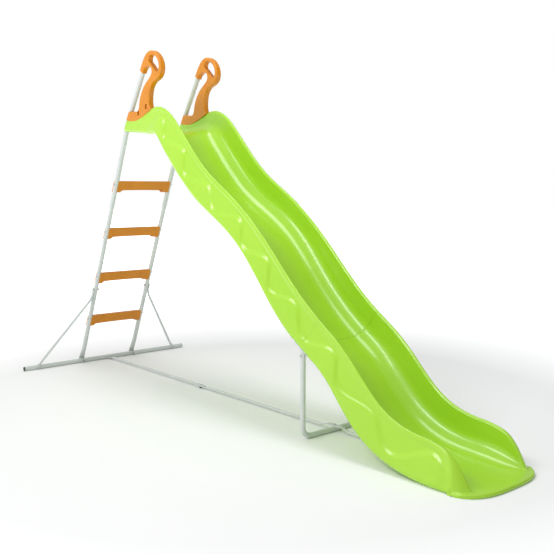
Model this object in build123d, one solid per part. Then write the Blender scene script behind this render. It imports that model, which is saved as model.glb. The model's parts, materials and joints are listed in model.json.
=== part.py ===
from build123d import *
import math
import os

# Garden slide with a wavy two-piece plastic chute, a tubular ladder and a U-shaped foot under the chute.
# All lengths are millimetres. While the parts are made, x = 0 is the axis of the base tube and x grows
# towards the exit; export_part() then moves everything so that the origin is the middle of the footprint.

# Steel tubes
tube_od = 28.0            # ladder legs and base tube
tube_wall = 1.5
base_half = 600.0         # half length of the base tube with its end caps
cap_head = 4.0            # thickness of the end cap outside the tube
cap_edge = 2.5            # rounding of its rim
cap_plug = 20.0           # length of the end cap inside the tube
cap_wall = 2.0
slip_gap = 0.2            # difference of diameter between a tube and what slides into it
leg_y = 190.0             # ladder legs stand at y = -leg_y and y = +leg_y
leg_slope = 0.4396        # lean of the lower ladder, mm forward for each mm up
leg_offset = -23.0        # where the lean line meets the floor
bend_z = 1560.0           # height of the bend below the handrail
rail_slope = 0.6528       # lean of the handrail above the bend
rail_top_z = 1836.0       # upper end of the tube, inside the handle
bend_radius = 220.0
leg_joint_z = 478.0       # the upper leg slips over the swaged end of the lower leg here
swage_length = 70.0
swage_collar = 3.0        # length of the step between the leg and its swaged end
foot_flat = 5.0           # thickness of the flattened lower end of a leg
leg_foot_top = 34.0       # top of the flat tongue
leg_tongue_width = 38.0
leg_tongue_round = 12.0
leg_neck_z = 105.0        # the leg is round above this height

# Braces
brace_od = 15.0
brace_strap = 4.0
brace_strap_width = 22.0
brace_wall = 1.2
brace_foot_y = 504.0
brace_bolt_z = 510.0
brace_flat_half = 10.5    # half width of the flattened tube where it runs into a strap
brace_foot_height = 36.0
brace_pad_length = 40.0
brace_low = (22.0, 24.0, 62.0)      # lower end of the round part: x, inward of the foot bolt, z
brace_high = (23.0, 14.0, 70.0)     # upper end: behind the leg axis, outside the leg, below the bolt

# Tab on the base tube for the ground strut
tab_thick = 4.0
tab_width = 26.0
tab_beyond = 14.0         # from its bolt to its tip
tab_bite = 3.0            # how far it runs into the tube
tab_round = 8.0

# Steps
step_top_first = 329.0
step_pitch = 290.6
step_count = 4
step_front = 15.0         # front face ahead of the leg axis
step_back = 37.0          # nose behind the leg axis
step_end_height = 68.0
step_mid_height = 56.0
step_rise = 1.5           # the underside is bowed up by this much in the middle
step_foot_y = 162.0       # the deep ends of a step reach in to here
step_thin_y = 146.0       # and it has its middle height from here
step_nose_round = 5.0
step_wall = 4.0
step_skin = 6.0           # thickness of the tread
step_bolt_drop = 20.0     # bolt below the tread
step_end_solid = 28.0     # solid length at each end
rib_count = 6
rib_thick = 3.0
groove_count = 4
groove_pitch = 10.0
groove_size = (3.0, 300.0, 2.4)

# Ground struts
strut_od = 14.0
strut_wall = 1.2
strut_z = 16.0
strap_thick = 4.0
strap_width = 20.0
strap_round = 8.0
strap_transition = 24.0
strap_near = 26.0         # from a bolt to the root of a short strap
strap_short = 12.0        # from a bolt to the tip of a short strap
strap_rise = 26.0         # extra taper where a strut steps up on the foot
tab_bolt_x = 34.0
mid_joint_x = 1090.0
foot_x = 2189.0
front_joint_x = 2735.0
overlap_half = 45.0       # from a bolt to the root of a long flattened strut end
strap_reach = 41.0        # from the bolt to its tip

# U-shaped foot
foot_od = 25.0
foot_leg_y = 205.0
foot_bend = 48.0

# Bracket under the joint of the chute halves
plate_thick = 3.0
plate_half = 222.0
plate_length = 120.0
plate_corner = 12.0
plate_top = 169.0         # below the rim, measured across the chute
plate_cover = 14.0        # solid plastic above the bracket
plate_solid_half = 75.0   # and this far along the chute, each way from the joint
seam_screw_across = 125.0
seam_screw_along = 38.0
spigot_d = 21.6
spigot_length = 62.0
spigot_low_z = 368.0
spigot_bolt_z = 397.0

# Handles
handle_thick = 34.0
handle_edge = 7.0
bore_gap = 0.1            # radial room between a tube and the plastic round it
handle_corners_above = 1592.0       # only the grip's own corners are rounded, not its foot's
handle_corners_ahead = 720.0
shortest_rim = 15.0

# Chute
skin = 3.5                # plastic wall of the hollow chute
rim_round = 8.0
base_round = 16.0
floor_round = 90.0
floor_round_share = 0.55  # where the channel is shallow, the share of its depth
rim_flare = 7.0           # the channel widens by this much at the rim
wall_lean = 0.06          # inward lean of the channel walls
lip_front = 3176.0
lip_thick = 16.0
lip_flat_x = 3110.0       # the lip is flat from here
chute_reach = 5000.0      # longer than the chute
seam_x = 2285.0
seam_z = 573.0
seam_lean = 34.0          # slope of the chute at the joint of its two halves
seam_gap = 0.4
chute_end_solid = 706.0   # the entry end is solid plastic up to here
lip_solid = 2905.0        # and the exit lip from here
chute_screw_z = 1516.0
chute_screw_depth = 33.0
handle_screw_length = 30.0
seam_screw_length = 15.0
boss_d = 30.0
boss_height = 17.0
insert_hole_d = 6.1       # hole moulded in the plastic for a 6 mm screw

# Chute stations along the rim: x, z, lean of the section in degrees, depth from the rim to the lower
# edge, drop from the rim to the sliding floor, half width inside, half width at the rim, half width below
stations = [
    (600, 1552, 0, 70, 50, 170, 208, 209),
    (700, 1549, 0, 69, 50, 170, 208, 209),
    (760, 1548, 0, 73, 52, 172, 207, 210),
    (840, 1569, 0, 101, 78, 177, 204, 213),
    (910, 1596, 0, 136, 108, 182, 202, 218),
    (976, 1608, 0, 154, 132, 185, 201, 223),
    (1045, 1594, 15, 159, 143, 185, 200, 228),
    (1112, 1558, 30, 163, 148, 185, 200, 232),
    (1192, 1486, 43, 166, 150, 185, 200, 235),
    (1285, 1391, 46, 165, 150, 185, 200, 235),
    (1380, 1299, 41, 162, 150, 185, 200, 235),
    (1485, 1218, 35, 161, 149, 185, 200, 235),
    (1610, 1142, 33, 158, 145, 185, 200, 235),
    (1745, 1052, 37, 151, 138, 185, 200, 235),
    (1880, 941, 41, 151, 138, 185, 200, 235),
    (2010, 816, 44, 162, 146, 185, 200, 235),
    (2145, 685, 41, 173, 152, 185, 200, 235),
    (2285, 573, 34, 172, 153, 185, 200, 235),
    (2395, 496, 38, 166, 150, 185, 200, 235),
    (2500, 404, 45, 164, 149, 185, 200, 236),
    (2592, 311, 42, 170, 150, 185, 200, 238),
    (2690, 234, 27, 173, 150, 185, 200, 242),
    (2800, 191, 13, 173, 148, 185, 200, 246),
    (2915, 176, 3, 176, 143, 185, 200, 248),
    (3050, 176, 0, 180, 155, 185, 200, 248),
    (3210, 176, 0, 182, 160, 185, 200, 248),
]
exit_curve = [(2880, 180), (2915, 175), (2960, 165), (3008, 146), (3048, 107), (3078, 62), (3098, 26)]
lip_outline = [(3085, 239), (3122, 226), (3150, 194), (3168, 110), (lip_front, 0)]

# Handle outline in the side view, x and z
handle_outer = [
    (813, 1820), (830, 1846), (852, 1876), (880, 1903), (915, 1917), (955, 1913), (1000, 1887),
    (1027, 1850), (1035, 1812), (1023, 1777), (990, 1755), (950, 1740), (922, 1713), (909, 1670),
    (908, 1630), (919, 1600),
]
handle_inner = [
    (776, 1594), (793, 1610), (803, 1645), (826, 1695), (864, 1738), (912, 1771), (937, 1800),
    (930, 1825), (904, 1834), (874, 1831), (853, 1819), (840, 1802),
]
handle_loop = [
    (910, 1870), (919, 1887), (948, 1892), (982, 1877), (1005, 1850), (1011, 1822), (1000, 1798),
    (968, 1812), (944, 1834), (923, 1852),
]
handle_screws_at = [(792, 1571), (876, 1602)]   # seats of the screw heads
handle_pocket = 17.0
handle_sole = [(919, 1592), (840, 1561), (762, 1541)]
handle_on_tube = [1536, 1560, 1602]            # heights where the outline runs along the leg axis

# Fasteners: diameters of shanks, heads and holes, and heights of heads
m8 = 8.0
m8_head = (16.0, 5.0)
m8_nut = (13.0, 11.0)
m8_spare = 8.0            # shank beyond the clamped parts
m8_hole = 8.4
m6 = 6.0
m6_head = (12.0, 4.0)
m6_nut = (10.0, 9.0)
m6_hole = 6.4
step_bore = 6.2
screw_d = 5.0
screw_head = (11.0, 3.5)
screw_hole = 5.2
anchor_hole = 9.0
anchor_y = 548.0
insert_radius = 4.8
insert_length = 9.0
reach_all = 400.0         # longer than the object is wide, for cuts that go right through

sides = {"left": -1, "right": 1}
slide_centre = (lip_front - tube_od / 2) / 2


def leg_axis_x(z):
    """x of the leg axis at height z."""
    if z <= bend_z:
        return leg_slope * z + leg_offset
    return leg_slope * bend_z + leg_offset + rail_slope * (z - bend_z)


def leg_point(z, side):
    return Vector(leg_axis_x(z), side * leg_y, z)


def rod(start, end, radius):
    """Solid round bar between two points."""
    run = Vector(end) - Vector(start)
    bar = Cylinder(radius, run.length, align=(Align.CENTER, Align.CENTER, Align.MIN))
    return Plane(origin=start, z_dir=run) * bar


def tube(start, end, outer_d, wall):
    return rod(start, end, outer_d / 2) - rod(start, end, outer_d / 2 - wall)


def slab(x_size, y_size, z_size, centre):
    return Pos(*centre) * Box(x_size, y_size, z_size)


def bolt(start, direction, diameter, length, head_d, head_h):
    """Round-head bolt: the underside of its head is at start and its shank runs along direction."""
    shank = Cylinder(diameter / 2, length, align=(Align.CENTER, Align.CENTER, Align.MIN))
    head = Pos(0, 0, -head_h) * Cylinder(head_d / 2, head_h, align=(Align.CENTER, Align.CENTER, Align.MIN))
    head = fillet(head.edges().group_by(Axis.Z)[0], head_h * 0.45)
    socket = Cylinder(diameter * 0.3, head_h * 0.5, align=(Align.CENTER, Align.CENTER, Align.MIN))
    socket = Pos(0, 0, -head_h) * socket
    return Plane(origin=start, z_dir=direction) * (shank + head - socket)


def nut(start, direction, diameter, across, height, blind):
    """Hexagon nut seated at start; a blind one is a domed cap nut."""
    body = extrude(RegularPolygon(across / 2, 6, major_radius=False), height * (0.6 if blind else 1.0))
    if blind:
        body += Pos(0, 0, height * 0.6) * Cylinder(
            across * 0.45, height * 0.4, align=(Align.CENTER, Align.CENTER, Align.MIN)
        )
        body = fillet(body.edges().group_by(Axis.Z)[-1], height * 0.35)
    depth = height * 0.75 if blind else height
    body -= Cylinder(diameter / 2, depth, align=(Align.CENTER, Align.CENTER, Align.MIN))
    return Plane(origin=start, z_dir=direction) * body


def cut_hole(shape, centre, direction, diameter, reach=60.0):
    """Through hole round centre along direction."""
    way = Vector(direction).normalized() * reach
    return shape - rod(Vector(centre) - way, Vector(centre) + way, diameter / 2)


def make_base_tube():
    half = base_half - cap_head
    r = tube_od / 2
    shape = tube((0, -half, r), (0, half, r), tube_od, tube_wall)
    tab_z = strut_z - strap_thick - tab_thick / 2
    tab_from = r - tab_bite
    tab_to = tab_bolt_x + tab_beyond
    tab = slab(tab_to - tab_from, tab_width, tab_thick, ((tab_from + tab_to) / 2, 0, tab_z))
    tab = fillet(tab.edges().filter_by(Axis.Z).group_by(Axis.X)[-1], tab_round)
    shape += tab - rod((0, -half, r), (0, half, r), r - tube_wall / 2)
    shape = cut_hole(shape, (tab_bolt_x, 0, tab_z), (0, 0, 1), m6_hole, 2 * tab_thick)
    for side in sides.values():
        shape = cut_hole(shape, (0, side * leg_y, r), (1, 0, 0), m8_hole)
        shape = cut_hole(shape, (0, side * brace_foot_y, r), (1, 0, 0), m8_hole)
        shape = cut_hole(shape, (0, side * anchor_y, r), (0, 0, 1), anchor_hole)
    return shape


def make_end_cap(side):
    r = tube_od / 2
    outer = side * base_half
    face = side * (base_half - cap_head)
    head = rod((0, face, r), (0, outer, r), r)
    head = fillet(head.edges().sort_by(Axis.Y)[-1 if side > 0 else 0], cap_edge)
    plug_d = tube_od - 2 * tube_wall - slip_gap
    plug = tube((0, face, r), (0, face - side * cap_plug, r), plug_d, cap_wall)
    return head + plug


def make_lower_leg(side):
    r = tube_od / 2
    swage_top = leg_point(leg_joint_z + swage_length, side)
    joint = leg_point(leg_joint_z, side)
    low = leg_point(leg_neck_z, side)
    run = joint - low
    swage_d = tube_od - 2 * tube_wall - slip_gap
    collar = tube(joint - run.normalized() * swage_collar, joint, tube_od, 2 * tube_wall + slip_gap)
    shape = tube(low, joint, tube_od, tube_wall) + collar + tube(joint, swage_top, swage_d, tube_wall)
    round_end = Plane(origin=low, x_dir=(0, 1, 0), z_dir=run) * Circle(r)
    tongue_x = -r - foot_flat / 2
    flat_end = Plane(origin=(tongue_x, side * leg_y, leg_foot_top), x_dir=(0, 1, 0), z_dir=(0, 0, 1))
    squeeze = loft([flat_end * Ellipse(leg_tongue_width / 2 + 1, foot_flat / 2), round_end])
    bottom = 1.0
    tongue_height = leg_foot_top + foot_flat / 2 - bottom
    tongue_middle = (tongue_x, side * leg_y, bottom + tongue_height / 2)
    tongue = slab(foot_flat, leg_tongue_width, tongue_height, tongue_middle)
    tongue = fillet(tongue.edges().filter_by(Axis.X).group_by(Axis.Z)[0], leg_tongue_round)
    shape += squeeze + tongue
    shape = cut_hole(shape, (tongue_x, side * leg_y, r), (1, 0, 0), m8_hole, 2 * foot_flat)
    shape = cut_hole(shape, leg_point(brace_bolt_z, side), (0, 1, 0), m8_hole)
    return cut_hole(shape, step_bolt_point(0, side), (0, 1, 0), m6_hole)


def bent_bar(side, radius, bottom_z, top_z):
    """Solid round bar along the axis of an upper ladder leg."""
    corners = [(leg_axis_x(z), z) for z in (bottom_z, bend_z, top_z)]
    path = Plane.XZ.offset(-side * leg_y) * FilletPolyline(*corners, radius=bend_radius)
    start = Plane(origin=leg_point(bottom_z, side), z_dir=(leg_slope, 0, 1))
    return sweep(start * Circle(radius), path)


def make_upper_leg(side):
    r = tube_od / 2
    shape = bent_bar(side, r, leg_joint_z, rail_top_z)
    shape -= bent_bar(side, r - tube_wall, leg_joint_z, rail_top_z)
    shape = cut_hole(shape, leg_point(brace_bolt_z, side), (0, 1, 0), m8_hole)
    shape = cut_hole(shape, chute_screw_point(side), leg_normal(), screw_hole)
    for index in range(1, step_count):
        shape = cut_hole(shape, step_bolt_point(index, side), (0, 1, 0), m6_hole)
    return shape


def leg_normal():
    """Unit vector across the lower ladder, forward and down."""
    return Vector(1, 0, -leg_slope).normalized()


def brace_lines(side):
    """Ends of the round part of a brace: near its foot, and near its top bolt."""
    low_x, low_in, low_z = brace_low
    behind, outside, below = brace_high
    low = Vector(low_x, side * (brace_foot_y - low_in), low_z)
    high = Vector(
        leg_axis_x(brace_bolt_z) - behind,
        side * (leg_y + tube_od / 2 + outside),
        brace_bolt_z - below,
    )
    return low, high


def brace_foot(side, low, run):
    """Flat foot of a brace on the front of the base tube, and the taper from it to the round tube."""
    foot_at = tube_od / 2 + brace_strap / 2
    overlap = 5.0
    bottom = 2.0
    taper_from = Plane(
        origin=(foot_at, side * (brace_foot_y - overlap), bottom + brace_foot_height - overlap + 1),
        x_dir=(0, 1, 0),
        z_dir=(0, 0, 1),
    )
    taper_to = Plane(origin=low, x_dir=(0, 1, 0), z_dir=run) * Circle(brace_od / 2)
    taper = loft([taper_from * Ellipse(brace_flat_half, brace_strap / 2), taper_to])
    middle = (foot_at, side * brace_foot_y, bottom + brace_foot_height / 2)
    foot = slab(brace_strap, brace_strap_width, brace_foot_height, middle)
    foot = fillet(foot.edges().filter_by(Axis.X), 8)
    return cut_hole(foot + taper, (foot_at, side * brace_foot_y, tube_od / 2), (1, 0, 0), m8_hole, 10)


def brace_head(side, high, run):
    """Flat upper end of a brace on the outer side of the leg, and the taper from the round tube to it."""
    top_y = side * (leg_y + tube_od / 2 + brace_strap / 2)
    bolt_at = Vector(leg_axis_x(brace_bolt_z), top_y, brace_bolt_z)
    down = Vector(-leg_slope, 0, -1).normalized()
    across = Vector(0, 1, 0).cross(down)
    below_bolt = 7.0
    root = bolt_at + down * (brace_pad_length / 2 + below_bolt - 3)
    taper_to = Plane(origin=root, x_dir=across, z_dir=down * -1) * Ellipse(brace_flat_half, brace_strap / 2)
    taper_from = Plane(origin=high, x_dir=across, z_dir=run) * Circle(brace_od / 2)
    taper = loft([taper_from, taper_to])
    pad_plane = Plane(origin=bolt_at, x_dir=down, z_dir=(0, 1, 0))
    pad = pad_plane * (Pos(below_bolt, 0, 0) * Box(brace_pad_length, brace_strap_width, brace_strap))
    pad = fillet(pad.edges().filter_by(Axis.Y), 9)
    return cut_hole(pad + taper, bolt_at, (0, 1, 0), m8_hole, 10)


def make_brace(side):
    low, high = brace_lines(side)
    run = high - low
    return tube(low, high, brace_od, brace_wall) + brace_foot(side, low, run) + brace_head(side, high, run)


def step_top(index):
    return step_top_first + step_pitch * index


def step_bolt_point(index, side):
    return leg_point(step_top(index) - step_bolt_drop, side)


def slanted_block(index, front, back, top_drop, height, y_low, y_high):
    """Bar across the ladder whose front and back faces lean like the legs."""
    z_top = step_top(index) - top_drop
    axis_x = leg_axis_x(z_top)
    shift = leg_slope * height
    outline = Polyline(
        (axis_x + front, z_top),
        (axis_x - back, z_top),
        (axis_x - back - shift, z_top - height),
        (axis_x + front - shift, z_top - height),
        close=True,
    )
    face = Plane.XZ.offset(-y_low) * make_face(outline)
    return extrude(face, y_high - y_low, dir=(0, 1, 0))


def step_underside():
    """Space below the thinner middle of a step, as seen from the front, with z = 0 at the tread."""
    foot = (step_foot_y, -step_end_height)
    thin = (step_thin_y, -step_mid_height)
    left_foot = (-foot[0], foot[1])
    left_thin = (-thin[0], thin[1])
    deep = 1.5 * step_end_height
    outline = Line(left_foot, left_thin)
    outline += ThreePointArc(left_thin, (0, step_rise - step_mid_height), thin)
    outline += Polyline(thin, foot, (foot[0], -deep), (left_foot[0], -deep), left_foot)
    return make_face(outline)


def make_step(index):
    z_top = step_top(index)
    axis_x = leg_axis_x(z_top)
    body = slanted_block(index, step_front, step_back, 0, step_end_height, -leg_y, leg_y)
    body = fillet(body.edges().filter_by(Axis.Y).group_by(Axis.Z)[-1], step_nose_round)
    half_depth = 120.0
    below = Plane.YZ.offset(axis_x - half_depth) * Pos(0, z_top) * step_underside()
    body -= extrude(below, 2 * half_depth)
    inner_half = leg_y - step_end_solid
    cell = 2 * inner_half / rib_count
    for rib in range(rib_count):
        y_low = -inner_half + rib * cell + rib_thick / 2
        y_high = y_low + cell - rib_thick
        front = step_front - step_wall
        back = step_back - step_wall
        body -= slanted_block(index, front, back, step_skin, 1.5 * step_end_height, y_low, y_high)
    for groove in range(groove_count):
        groove_x = axis_x + step_wall - groove_pitch * groove
        body -= slab(*groove_size, (groove_x, 0, z_top))
    for side in sides.values():
        low = leg_point(z_top - 2 * step_end_height, side)
        high = leg_point(z_top + step_end_height, side)
        body -= rod(low, high, tube_od / 2 + bore_gap)
        body = cut_hole(body, step_bolt_point(index, side), (0, 1, 0), step_bore, step_end_solid - 1)
    return body


def station_plane(station):
    """Section plane through the rim: its x axis is +Y and its y axis points out of the chute."""
    lean = math.radians(station[2])
    return Plane(
        origin=(station[0], 0, station[1]),
        x_dir=(0, 1, 0),
        z_dir=(math.cos(lean), 0, -math.sin(lean)),
    )


def outer_section(station, inset):
    depth, rim_half, base_half_width = station[3], station[6], station[7]
    outline = FilletPolyline(
        (-rim_half + inset, -inset),
        (rim_half - inset, -inset),
        (base_half_width - inset, -depth + inset),
        (-base_half_width + inset, -depth + inset),
        radius=[rim_round - inset, rim_round - inset, base_round - inset, base_round - inset],
        close=True,
    )
    return station_plane(station) * make_face(outline)


def channel_section(station, grow):
    drop, inner_half = station[4], station[5]
    floor_half = inner_half - wall_lean * drop
    flare = rim_flare
    roof = 60.0
    corner = min(floor_round, floor_round_share * (drop - rim_round)) + grow
    outline = FilletPolyline(
        (-inner_half - flare - grow, roof),
        (-inner_half - flare - grow, 0),
        (-inner_half - grow, -flare - 2),
        (-floor_half - grow, -drop - grow),
        (floor_half + grow, -drop - grow),
        (inner_half + grow, -flare - 2),
        (inner_half + flare + grow, 0),
        (inner_half + flare + grow, roof),
        radius=[0, 0, 5, corner, corner, 5, 0, 0],
        close=True,
    )
    return station_plane(station) * make_face(outline)


def seam_plane():
    lean = math.radians(seam_lean)
    along = (math.cos(lean), 0, -math.sin(lean))
    return Plane(origin=(seam_x, 0, seam_z), x_dir=(0, 1, 0), z_dir=along)


def seam_box(width, low, high, back, front):
    """Box at the chute joint: width across, low to high below the rim, back to front along the chute."""
    middle = Pos(0, -(low + high) / 2, (back + front) / 2)
    return seam_plane() * middle * Box(width, abs(high - low), front - back)


def seam_half_space(side, gap):
    """Big block on the entry side (-1) or the exit side (+1) of the joint between the chute halves."""
    size = 4000.0
    return seam_plane() * Pos(0, 0, side * (size + gap) / 2) * Box(size, size, size)


def cut_exit(body):
    """Cut the exit end to its side outline, and its lip to its outline from above."""
    wall_line = Spline(*exit_curve)
    beyond = lip_front + 200
    side_frame = Polyline(
        exit_curve[-1],
        (lip_flat_x, lip_thick),
        (beyond, lip_thick),
        (beyond, reach_all),
        (exit_curve[0][0], reach_all),
        exit_curve[0],
    )
    above = make_face(wall_line + side_frame)
    body -= extrude(Plane.XZ.offset(-reach_all) * above, 2 * reach_all, dir=(0, -1, 0))
    left_corner = [(x, -y) for x, y in reversed(lip_outline[:-1])]
    nose = Spline(*lip_outline, *left_corner)
    inside = lip_front - 176
    tail = Polyline(
        left_corner[-1],
        (inside, -reach_all),
        (beyond, -reach_all),
        (beyond, reach_all),
        (inside, reach_all),
        lip_outline[0],
    )
    return body - extrude(make_face(nose + tail), reach_all)


def make_chute():
    """The whole chute as one solid block, before it is hollowed and split."""
    body = loft([outer_section(s, 0) for s in stations])
    channel = loft([channel_section(s, 0) for s in stations])
    ground_depth = 200.0
    ground = slab(chute_reach, 2 * reach_all, ground_depth, (chute_reach / 2, 0, -ground_depth / 2))
    body -= channel - Pos(0, 0, lip_thick) * ground
    body -= ground
    body = cut_exit(body)
    end_plane = Plane(origin=leg_point(bend_z, 0), x_dir=(0, 1, 0), z_dir=leg_normal())
    body -= end_plane * Pos(0, 0, -reach_all / 2) * Box(2 * reach_all, 2 * reach_all, reach_all)
    for side in sides.values():
        body -= bent_bar(side, tube_od / 2 + bore_gap, 1300, 1700)
    return body.solids().sort_by(SortBy.VOLUME)[-1]


def make_air():
    """Sealed air space between the two skins of the chute."""
    air = loft([outer_section(s, skin) for s in stations])
    air -= loft([channel_section(s, skin) for s in stations])
    tall = 2 * lip_front
    width = 2 * reach_all
    air -= slab(chute_end_solid, width, tall, (chute_end_solid / 2, 0, 0))
    air -= slab(width, width, tall, (lip_solid + reach_all, 0, 0))
    air -= seam_box(width, -reach_all, reach_all, -skin, skin)
    return air - seam_box(width, plate_top - plate_cover, reach_all, -plate_solid_half, plate_solid_half)


def chute_screw_point(side):
    """Where the axis of a chute end screw crosses the leg axis."""
    return leg_point(chute_screw_z, side)


def seam_screw_points():
    """Seats of the bracket screws, on the underside of the bracket."""
    return [
        seam_plane().from_local_coords((across, -plate_top - plate_thick, along))
        for across in (-seam_screw_across, seam_screw_across)
        for along in (-seam_screw_along, seam_screw_along)
    ]


def seam_up():
    return seam_plane().y_dir


def handle_screw_seats(side):
    return [Vector(x, side * leg_y, z) for x, z in handle_screws_at]


def make_chute_halves(block):
    body = block - make_air()
    front_screw = Vector(front_joint_x, 0, strut_z + strap_thick)
    boss = Cylinder(boss_d / 2, boss_height, align=(Align.CENTER, Align.CENTER, Align.MIN))
    body += Plane(origin=front_screw) * boss
    hole_r = insert_hole_d / 2
    body -= rod(front_screw, front_screw + Vector(0, 0, boss_height - 4), hole_r)
    gap = 0.2
    reach = plate_length / 2 + gap
    body -= seam_box(2 * (plate_half + gap), plate_top, reach_all, -reach, reach)
    for seat in seam_screw_points():
        body -= rod(seat, seat + seam_up() * (seam_screw_length + 1), hole_r)
    for side in sides.values():
        start = chute_screw_point(side)
        body -= rod(start, start + leg_normal() * chute_screw_depth, screw_hole / 2)
        for seat in handle_screw_seats(side):
            body -= rod(seat, seat - Vector(0, 0, handle_screw_length + 2), screw_hole / 2)
    upper = body & seam_half_space(-1, seam_gap)
    lower = body & seam_half_space(1, seam_gap)
    return upper, lower


def make_handle(side, chute_block):
    on_tube = [(leg_axis_x(z), z) for z in handle_on_tube]
    above_tube = (on_tube[-1][0] + 22, on_tube[-1][1] - 2)
    foot_line = Polyline(handle_outer[-1], *handle_sole, *on_tube, above_tube, handle_inner[0])
    outline = Spline(*handle_outer) + foot_line + Spline(*handle_inner)
    outline += Line(handle_inner[-1], handle_outer[0])
    middle = Plane.XZ.offset(-side * leg_y)
    body = extrude(middle * make_face(outline), handle_thick / 2, both=True)
    loop = extrude(middle * make_face(Spline(*handle_loop, periodic=True)), handle_thick, both=True)
    body -= loop
    faces = body.faces().filter_by(Axis.Y)
    rims = [e for e in faces.edges() if e.length > shortest_rim]
    rims = [e for e in rims if e.center().Z > handle_corners_above and e.center().X > handle_corners_ahead]
    body = fillet(rims, handle_edge)
    body -= bent_bar(side, tube_od / 2 + bore_gap, 1400, rail_top_z)
    body -= chute_block
    deep, tall = 30.0, 26.0
    pocket_y = side * (leg_y + (deep - handle_pocket) / 2)
    for seat in handle_screw_seats(side):
        body -= slab(handle_pocket, deep, tall, (seat.X, pocket_y, seat.Z + tall / 2))
        body -= rod(seat, seat - Vector(0, 0, 40), screw_hole / 2)
    return body.solids().sort_by(SortBy.VOLUME)[-1]


def foot_bolt_point(side):
    return Vector(foot_x, side * foot_leg_y, spigot_bolt_z)


def make_seam_plate():
    half = plate_length / 2
    plate = seam_box(2 * plate_half, plate_top, plate_top + plate_thick, -half, half)
    plate = fillet(plate.edges().filter_by(lambda e: abs(e.length - plate_thick) < 0.1), plate_corner)
    above = seam_box(2 * reach_all, -reach_all, plate_top + plate_thick / 2, -reach_all, reach_all)
    for side in sides.values():
        low = Vector(foot_x, side * foot_leg_y, spigot_low_z)
        plate += rod(low, low + Vector(0, 0, 1.5 * spigot_length), spigot_d / 2) - above
        plate = cut_hole(plate, foot_bolt_point(side), (0, 1, 0), m6_hole, 20)
    for seat in seam_screw_points():
        plate -= rod(seat - seam_up() * 5, seat + seam_up() * 5, m6_hole / 2)
    return plate


def make_support_foot():
    r = foot_od / 2
    tall = 500.0
    corners = [(-foot_leg_y, tall), (-foot_leg_y, r), (foot_leg_y, r), (foot_leg_y, tall)]
    path = Plane.YZ.offset(foot_x) * FilletPolyline(*corners, radius=foot_bend)
    start = Plane(origin=(foot_x, -foot_leg_y, tall), z_dir=(0, 0, -1))
    shape = sweep(start * (Circle(r) - Circle(r - tube_wall)), path)
    shape -= seam_box(2 * reach_all, -reach_all, plate_top + plate_thick, -reach_all, reach_all)
    for side in sides.values():
        shape = cut_hole(shape, foot_bolt_point(side), (0, 1, 0), m6_hole, 20)
    return shape - rod((foot_x, 0, r), (foot_x, 0, 3 * r), m6_hole / 2)


def strap_end(bolt_x, strap_z, toward, reach, rise):
    """Flattened end of a strut: a strap from the bolt, then a taper back to the round tube."""
    tip = bolt_x - toward * reach
    root = bolt_x + toward * (overlap_half if reach == strap_reach else strap_near)
    middle_z = strap_z + strap_thick / 2
    strap = slab(abs(root - tip), strap_width, strap_thick, ((root + tip) / 2, 0, middle_z))
    tips = strap.edges().filter_by(Axis.Z).group_by(Axis.X)[0 if toward > 0 else -1]
    strap = fillet(tips, strap_round)
    flat = Plane(origin=(root - toward * 1, 0, middle_z), x_dir=(0, 1, 0), z_dir=(1, 0, 0))
    round_x = root + toward * (strap_transition + rise)
    full = Plane(origin=(round_x, 0, strut_z), x_dir=(0, 1, 0), z_dir=(1, 0, 0))
    sections = [flat * Ellipse(strap_width / 2 - 0.5, strap_thick / 2), full * Circle(strut_od / 2)]
    if toward < 0:
        sections.reverse()
    taper = loft(sections)
    return strap + taper, round_x


def make_strut(start, end):
    """start and end are (bolt x, underside of the strap, overlap beyond the bolt, extra taper length)."""
    first, tube_from = strap_end(start[0], start[1], 1, start[2], start[3])
    last, tube_to = strap_end(end[0], end[1], -1, end[2], end[3])
    shape = tube((tube_from, 0, strut_z), (tube_to, 0, strut_z), strut_od, strut_wall) + first + last
    for bolt_x, strap_z in (start[:2], end[:2]):
        shape -= rod((bolt_x, 0, strap_z - 1), (bolt_x, 0, strap_z + strap_thick + 1), m6_hole / 2)
    return shape


low_strap = strut_z - strap_thick
foot_strap = foot_od
strut_ends = {
    "ground_strut_rear": [
        (tab_bolt_x, low_strap, strap_short, 0),
        (mid_joint_x, strut_z, strap_reach, 0),
    ],
    "ground_strut_middle": [
        (mid_joint_x, low_strap, strap_reach, 0),
        (foot_x, foot_strap, strap_reach, strap_rise),
    ],
    "ground_strut_front": [
        (foot_x, foot_strap + strap_thick, strap_reach, strap_rise),
        (front_joint_x, strut_z, strap_short, 0),
    ],
}


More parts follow.
